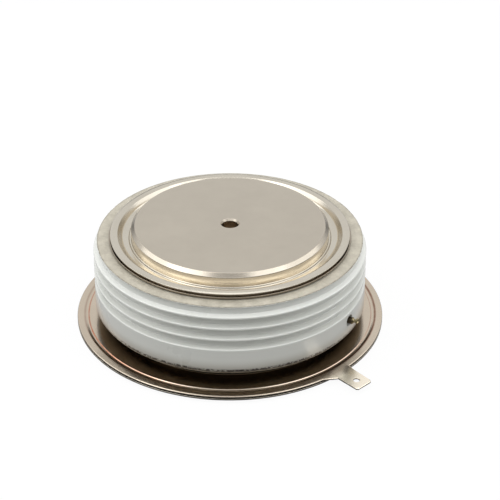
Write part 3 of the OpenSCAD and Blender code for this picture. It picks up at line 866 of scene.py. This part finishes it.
# %% Group: mottling
BROAD_SCALE = 0.23
FINE_SHARE = 0.45
mottle, given, result = new_group("Mottling", {"Scale": 250.0, "Contrast": 1.0}, ["Tone"])
calc = partial(math_node, mottle)
cloud = noise(mottle, given["Scale"], 4.0, 0.55)
broad = noise(mottle, calc("MULTIPLY", given["Scale"], BROAD_SCALE), 2.0, 0.5)
both = calc("ADD", calc("MULTIPLY", cloud, FINE_SHARE), calc("MULTIPLY", broad, 1 - FINE_SHARE))
spread = calc("MULTIPLY_ADD", calc("SUBTRACT", both, 0.5), given["Contrast"], 0.5)
mottle.links.new(limited(mottle, spread), result["Tone"])

# %% Group: fine grain
grain, given, result = new_group("Fine grain", {"Scale": 6000.0}, ["Height"])
grain.links.new(noise(grain, given["Scale"], 3.0, 0.6), result["Height"])

# %% Group: line at a radius
LINE_SOFTNESS = 0.2
GAP_CONTRAST = 1.6
LINE_GAIN = 1.5
ring_line, given, result = new_group(
    "Ring line", {"Radius": 0.03, "Width": 0.0003, "Break up": 0.5, "Scale": 900.0}, ["Mask", "Distance"]
)
calc = partial(math_node, ring_line)
across, deep, _ = axes_of(ring_line)
square = calc("ADD", calc("MULTIPLY", across, across), calc("MULTIPLY", deep, deep))
from_axis = calc("SQRT", square)
away = calc("ABSOLUTE", calc("SUBTRACT", from_axis, given["Radius"]))
line = calc("SUBTRACT", 1.0, calc("DIVIDE", away, given["Width"]))
line = calc("SMOOTH_MIN", calc("MAXIMUM", line, 0.0), 1.0, LINE_SOFTNESS)
speck = noise(ring_line, given["Scale"], 3.0, 0.6)
gaps = calc("MULTIPLY", calc("SUBTRACT", 1.0, speck), given["Break up"])
gaps = calc("SUBTRACT", 1.0, calc("MULTIPLY", gaps, GAP_CONTRAST))
mask = calc("MULTIPLY", line, calc("MAXIMUM", gaps, 0.0))
ring_line.links.new(calc("MULTIPLY", mask, LINE_GAIN), result["Mask"])
ring_line.links.new(from_axis, result["Distance"])

# %% Group: band at a height
level_band, given, result = new_group(
    "Level band", {"Low": 0.0, "High": 0.001, "Soft": 0.0002, "Speckle": 0.0, "Scale": 3000.0}, ["Mask"]
)
calc = partial(math_node, level_band)
height = axes_of(level_band)[2]
rise = calc("DIVIDE", calc("SUBTRACT", height, given["Low"]), given["Soft"])
fall = calc("DIVIDE", calc("SUBTRACT", given["High"], height), given["Soft"])
inside = limited(level_band, calc("MINIMUM", rise, fall))
speck = noise(level_band, given["Scale"], 2.0, 0.6)
speck = calc("MULTIPLY", calc("SUBTRACT", speck, 0.5), given["Speckle"])
inside = calc("MULTIPLY", inside, calc("ADD", 1.0, speck))
level_band.links.new(limited(level_band, inside), result["Mask"])
print("node groups:", [g.name for g in bpy.data.node_groups])

# %% [markdown]
# ## A maker for two-tone finishes
# Most finishes here follow one recipe: a light and a dark tone mixed by mottling, a roughness that
# wanders with it, and a fine grain in the bump. A function makes that recipe with its own values.
# Where a finish needs more, such as copper in the weld groove, we get the parts back and lay further
# colours over the base, each with a mask: a line, a band, or a ramp over a distance from the axis or
# over a stretch of X or Z.

# %% Finish maker
GRAIN_DEPTH = 0.00002


def srgb(red, green, blue):
    """Colour for a shader socket from the 0 to 255 numbers that a picture editor shows."""
    share = np.array([red, green, blue], float) / 255
    linear = np.where(share <= 0.04045, share / 12.92, ((share + 0.055) / 1.055) ** 2.4)
    return (*linear.tolist(), 1.0)


def mixed(tree, factor, first, second):
    """Colour output of a Mix node between two colours or sockets."""
    return place(tree, "ShaderNodeMix", {0: factor, 6: first, 7: second}, data_type="RGBA").outputs[2]


def finish_of(
    name,
    light,
    dark,
    rough=None,
    metallic=1.0,
    mottle_scale=250.0,
    contrast=1.6,
    grain_scale=6000.0,
    bump=0.1,
    **plain,
):
    """Material with two tones, wandering roughness where a range is given, and a grain. Gives the
    material, its tree, its shader and its colour, so that a finish can be carried further."""
    material = bpy.data.materials.new(name)
    material.use_nodes = True
    tree = material.node_tree
    shader = tree.nodes["Principled BSDF"]
    tone = use_group(tree, mottle, Scale=mottle_scale, Contrast=contrast)["Tone"]
    colour = mixed(tree, tone, srgb(*dark), srgb(*light))
    tree.links.new(colour, shader.inputs["Base Color"])
    if rough:
        tree.links.new(ramp(tree, tone, low=rough[0], high=rough[1]), shader.inputs["Roughness"])
    shader.inputs["Metallic"].default_value = metallic
    for key, value in plain.items():
        shader.inputs[key.replace("_", " ")].default_value = value
    height = use_group(tree, grain, Scale=grain_scale)["Height"]
    relief = place(tree, "ShaderNodeBump", {"Height": height, "Strength": bump, "Distance": GRAIN_DEPTH})
    tree.links.new(relief.outputs[0], shader.inputs["Normal"])
    return material, tree, shader, colour


# %% Masks and layers
def by_radius(tree, start, end):
    """Mask that goes from 0 to 1 between two distances from the part's axis, in mm."""
    return ramp(tree, use_group(tree, ring_line)["Distance"], start * MM, end * MM)


def by_axis(tree, axis, start, end, shape="LINEAR"):
    """Mask that goes from 0 to 1 between two places along X, Y or Z, in mm."""
    return ramp(tree, axes_of(tree)["XYZ".index(axis)], start * MM, end * MM, shape=shape)


def paint(tree, shader, colour, *layers):
    """Lays each layer's colour over what lies below, where the layer's mask is 1."""
    for mask, tone in layers:
        colour = mixed(tree, mask, colour, srgb(*tone))
    tree.links.new(colour, shader.inputs["Base Color"])


def give(material, *objects):
    """Makes this the only material of each object."""
    for thing in objects:
        thing.data.materials.clear()
        thing.data.materials.append(material)
    print(material.name, "on", [thing.name for thing in objects])


# %% [markdown]
# ## Nickel, plating and glaze
# The visible metal is matt nickel with a warm cast. The lapped faces are satin, and the pressed sheet
# is a little brighter. On the weld flange copper shows through the groove's two edges, and the metal
# by the neck, in the ceramic's shade, is painted darker. The brushed plating on the ceramic's upper end
# is matt and blotchy, with a dark line along its outer edge. The glaze is white under a clear glassy
# coat; towards its lower end it is painted grey as shade, and it stops at a dark speckled edge.

# %% Satin nickel of the poles
# Painted light: the poles' turned wall is painted lighter and warmer than the face, a painted sheen for the
# light it catches.
POLE_WALL = (23.68, 23.74)
# Painted shade: the blind hole's wall and floor are painted darker.
DRILLED_WALL = (2.02, 1.96)
TURNED_EDGE = (22.65, 22.8)
FINEST_GRAIN = 14000.0
satin_nickel, tree, shader, colour = finish_of(
    "satin_nickel", (194, 186, 172), (182, 174, 161), grain_scale=FINEST_GRAIN, bump=0.06
)
paint(
    tree,
    shader,
    colour,
    (by_radius(tree, *POLE_WALL), (236, 225, 205)),
    (by_radius(tree, *DRILLED_WALL), (156, 142, 124)),
)
smoother = ramp(tree, by_radius(tree, *TURNED_EDGE), low=0.28, high=0.22)
tree.links.new(smoother, shader.inputs["Roughness"])
give(satin_nickel, anode_pole, nodes["cathode_pole_piece"])

# %% Pressed sheet nickel
UNDER_CROWN = (23.82, 23.72)
OUTSIDE_SEAM = (28.0, 28.2)
ABOVE_RING = (22.4, 22.6)
sheet_nickel, tree, shader, colour = finish_of(
    "sheet_nickel",
    (206, 200, 187),
    (194, 187, 174),
    (0.14, 0.22),
    mottle_scale=180.0,
    grain_scale=FINEST_GRAIN,
    bump=0.04,
)
# Painted shade: the sheet round the seam, between the plated ring and the crown's roll, is painted darker.
seam_shade = math_node(tree, "MULTIPLY", by_axis(tree, "Z", *UNDER_CROWN), by_radius(tree, *OUTSIDE_SEAM))
seam_shade = math_node(tree, "MULTIPLY", seam_shade, by_axis(tree, "Z", *ABOVE_RING))
paint(tree, shader, colour, (seam_shade, (158, 148, 134)))
give(sheet_nickel, anode_diaphragm, cap_flange)

# %% Weld flange nickel
LEFT_SIDE = (-8, -30)
RIGHT_SIDE = (12, 30)
# Painted shade: the flange inside 33 mm, under the ceramic's overhang, is painted dark brown.
NECK_SHADE = (33.0, 30.5)
# Painted light: the tab beyond the rim is painted nearly white, for the light it catches.
TAB_SHARE = (37.2, 39.2)
FAINT_ON_RIGHT = 0.3
FAINT_ON_LEFT = 0.4
rim_nickel, tree, shader, colour = finish_of(
    "rim_nickel",
    (206, 193, 176),
    (188, 175, 158),
    (0.16, 0.24),
    mottle_scale=160.0,
    grain_scale=FINEST_GRAIN,
    bump=0.04,
)
on_left, on_right = by_axis(tree, "X", *LEFT_SIDE), by_axis(tree, "X", *RIGHT_SIDE)
inner_line = use_group(tree, ring_line, Radius=0.0347, Width=0.00027, Break_up=0.6, Scale=500.0)["Mask"]
outer_line = use_group(tree, ring_line, Radius=0.03566, Width=0.0004, Break_up=0.4, Scale=500.0)["Mask"]
inner_share = math_node(tree, "MULTIPLY_ADD", on_right, FAINT_ON_RIGHT, on_left)
outer_share = math_node(tree, "MULTIPLY_ADD", on_left, FAINT_ON_LEFT, on_right)
paint(
    tree,
    shader,
    colour,
    (math_node(tree, "MULTIPLY", inner_line, inner_share), (190, 106, 62)),
    (math_node(tree, "MULTIPLY", outer_line, outer_share), (122, 82, 60)),
    (by_radius(tree, *NECK_SHADE), (96, 85, 71)),
    (by_radius(tree, *TAB_SHARE), (250, 240, 222)),
)
give(rim_nickel, weld_flange)

# %% Plating
brushed_plating, tree, shader, colour = finish_of(
    "brushed_plating",
    (203, 197, 181),
    (168, 162, 147),
    (0.36, 0.52),
    metallic=0.3,
    mottle_scale=1800.0,
    contrast=2.4,
    bump=0.4,
)
# A dark ragged line is painted along the plating's outer edge.
dark_edge_line = use_group(tree, ring_line, Radius=0.032, Width=0.0004, Break_up=0.8, Scale=2200.0)["Mask"]
paint(tree, shader, colour, (dark_edge_line, (84, 74, 56)))
give(brushed_plating, anode_plating)
fired_plating, *_ = finish_of(
    "fired_plating",
    (226, 216, 196),
    (186, 174, 154),
    (0.3, 0.5),
    metallic=0.2,
    mottle_scale=2400.0,
    contrast=3.0,
    bump=0.5,
)
give(fired_plating, cathode_plating)

# %% Glaze
# Painted shade: the plain band is painted grey towards its lower end, from 8.8 mm down to 5.2 mm.
LOW_BAND_SHADE = (8.8, 5.2)
white_glaze, tree, shader, colour = finish_of(
    "white_glaze",
    (234, 235, 230),
    (226, 228, 223),
    (0.24, 0.34),
    metallic=0.0,
    mottle_scale=120.0,
    grain_scale=900.0,
    bump=0.12,
    Coat_Weight=1.0,
    Coat_Roughness=0.2,
)
metal_edge = use_group(
    tree, level_band, Low=0.0049, High=0.0063, Soft=0.0005, Speckle=6.0, Scale=2000.0
)["Mask"]
paint(
    tree,
    shader,
    colour,
    (by_axis(tree, "Z", *LOW_BAND_SHADE, shape="SMOOTHSTEP"), (176, 173, 163)),
    (metal_edge, (40, 32, 24)),
)
give(white_glaze, ceramic_body)

# %% Gate finishes
# Painted shade: the tube is painted dark where it sinks into the ceramic's recess.
SUNK_TUBE = (34.3, 33.6)
gate_brass, tree, shader, colour = finish_of(
    "gate_brass", (214, 200, 160), (150, 136, 100), (0.22, 0.4), mottle_scale=900.0, contrast=2.2
)
paint(tree, shader, colour, (by_radius(tree, *SUNK_TUBE), (84, 74, 60)))
give(gate_brass, gate_eyelet)
dull_copper, *_ = finish_of(
    "dull_copper", (150, 100, 70), (84, 60, 44), (0.35, 0.55), mottle_scale=1500.0, contrast=2.0
)
give(dull_copper, gate_wire)

# %% [markdown]
# ## Finishes of the inner stack
# Nothing inside the sealed case shows, but a part that is cut open or shown exploded should look
# right too. Each CAD node in there gets its own finish: dead-soft silver foil, lapped molybdenum,
# polished silicon, white rubber round the wafer's bevel, and milky insulators. A table holds what
# differs between them, and one loop makes them all.

# %% Inner finishes
INNER_FINISHES = [
    (
        ("soft_silver", (222, 220, 214), (204, 202, 196), (0.2, 0.34)),
        {"mottle_scale": 300.0},
        ["anode_silver_foil", "cathode_silver_foil", "gate_plunger"],
    ),
    (
        ("lapped_molybdenum", (150, 152, 156), (128, 130, 136), (0.3, 0.42)),
        {"grain_scale": 9000.0, "bump": 0.3},
        ["anode_molybdenum_disc", "cathode_molybdenum_disc"],
    ),
    (
        ("polished_silicon", (84, 88, 100), (70, 74, 86), (0.05, 0.12)),
        {"metallic": 0.8, "bump": 0.03},
        ["silicon_wafer"],
    ),
    (
        ("edge_rubber", (232, 228, 218), (214, 209, 198), (0.55, 0.7)),
        {"metallic": 0.0, "grain_scale": 2500.0},
        ["wafer_edge_seal"],
    ),
    (
        ("milky_insulator", (238, 238, 232), (224, 224, 216), (0.38, 0.5)),
        {"metallic": 0.0, "grain_scale": 2500.0},
        ["centring_ring", "gate_insulator_cup", "gate_guide_bush", "gate_lead_sleeve"],
    ),
]
for recipe, options, node_names in INNER_FINISHES:
    finish, *_ = finish_of(*recipe, **options)
    give(finish, *(nodes[name] for name in node_names))
drawn_steel, *_ = finish_of(
    "drawn_steel", (168, 170, 174), (146, 148, 152), (0.22, 0.34), mottle_scale=1500.0
)
give(drawn_steel, gate_coil)

# %% [markdown]
# ## Floor, world and lamps
# A product shot on white needs a white ground that doesn't pour light on the object, so the floor
# and the world are at strength 1 where the camera looks at them. Mirrors see the white floor behind
# the part too, and grey elsewhere. For all other light the world is a soft tent: bright behind,
# less bright overhead, and dark low down and on the camera's side, because the dark parts are
# what draws the edges of shiny metal. Two key lamps stand high at the left and right, three flat
# fills lower down, and a long box hangs overhead.

# %% Floor
FLOOR_HALF = 3.0
GLOW_SHARE = 0.95
floor_mesh = bpy.data.meshes.new("floor")
floor_corners = np.array([(-1, -1, 0), (1, -1, 0), (1, 1, 0), (-1, 1, 0)], float) * FLOOR_HALF
floor_mesh.from_pydata(floor_corners.tolist(), [], [(0, 1, 2, 3)])
floor = bpy.data.objects.new("floor", floor_mesh)
bpy.context.collection.objects.link(floor)
paper = bpy.data.materials.new("white_paper")
paper.use_nodes = True
tree = paper.node_tree
tree.nodes.clear()
path = place(tree, "ShaderNodeLightPath").outputs
seen = math_node(tree, "MAXIMUM", path["Is Camera Ray"], path["Is Glossy Ray"])
seen = math_node(tree, "MAXIMUM", seen, path["Is Transmission Ray"])
ground = mixed(tree, seen, srgb(146, 146, 144), srgb(246, 246, 245))
lit = place(tree, "ShaderNodeBsdfDiffuse", {"Color": ground})
depth = axes_of(tree)[1]
behind = ramp(tree, depth, start=-0.03, end=0.05, low=0.06)
far_off = ramp(tree, depth, start=0.3, end=0.1, low=0.15)
mirrored = math_node(tree, "MULTIPLY", behind, far_off)
brightness = math_node(tree, "MAXIMUM", path["Is Camera Ray"], mirrored)
glow = place(tree, "ShaderNodeEmission", {"Color": (1, 1, 1, 1), "Strength": brightness})
surface = place(
    tree,
    "ShaderNodeMixShader",
    {0: math_node(tree, "MULTIPLY", seen, GLOW_SHARE), 1: lit.outputs[0], 2: glow.outputs[0]},
)
place(tree, "ShaderNodeOutputMaterial", {"Surface": surface.outputs[0]})
give(paper, floor)

# %% World
world = bpy.data.worlds.new("studio")
world.use_nodes = True
bpy.context.scene.world = world
tree = world.node_tree
tree.nodes.clear()
direction = axes_of(tree, "Generated")
sweep = ramp(tree, direction[1], start=-0.1, end=0.6, low=0.08, high=0.97, shape="SMOOTHSTEP")
roof = ramp(tree, direction[2], start=0.2, end=0.5, low=0.06, high=0.6, shape="SMOOTHSTEP")
skirt = ramp(tree, direction[2], start=-0.05, end=0.25, low=0.15, shape="SMOOTHSTEP")
tent = math_node(tree, "MAXIMUM", math_node(tree, "MULTIPLY", sweep, skirt), roof)
path = place(tree, "ShaderNodeLightPath").outputs
strength = math_node(tree, "MAXIMUM", tent, path["Is Camera Ray"])
sky = place(tree, "ShaderNodeBackground", {"Color": (1, 1, 1, 1), "Strength": strength})
place(tree, "ShaderNodeOutputWorld", {"Surface": sky.outputs[0]})
print("world nodes:", len(tree.nodes))

# %% Lamps
TENT_R = 0.9
LAMP_AIM = Vector((0, 0, 0.015))


def softbox(name, position, width, height, radiance):
    """Area lamp that faces the part. Its power is radiance x pi x area."""
    lamp = bpy.data.lights.new(name, "AREA")
    lamp.shape = "RECTANGLE"
    lamp.size, lamp.size_y = width, height
    lamp.energy = radiance * math.pi * width * height
    box = bpy.data.objects.new(name, lamp)
    at = Vector(position)
    turn = (LAMP_AIM - at).to_track_quat("-Z", "Y").to_matrix().to_4x4()
    box.matrix_world = Matrix.Translation(at) @ turn
    bpy.context.collection.objects.link(box)
    print(name, round(lamp.energy, 2), "W")


def on_tent(azimuth, elevation):
    """Place on the tent round the part, by azimuth and elevation in degrees."""
    turn, lift = math.radians(azimuth), math.radians(elevation)
    return (
        TENT_R * math.cos(lift) * math.cos(turn),
        TENT_R * math.cos(lift) * math.sin(turn),
        TENT_R * math.sin(lift),
    )


softbox("overhead_softbox", (0.0, 0.1, 0.6), width=0.7, height=0.25, radiance=1.2)
softbox("left_key", on_tent(-150, 58), width=0.5, height=0.5, radiance=1.9)
softbox("right_key", on_tent(-34, 58), width=0.45, height=0.5, radiance=1.6)
softbox("front_fill", on_tent(-92, 44), width=0.8, height=0.2, radiance=1.1)
softbox("left_fill", on_tent(-176, 38), width=1.0, height=0.4, radiance=1.6)
softbox("right_fill", on_tent(2, 36), width=0.9, height=0.4, radiance=1.3)
bpy.context.scene.view_settings.view_transform = "Standard"
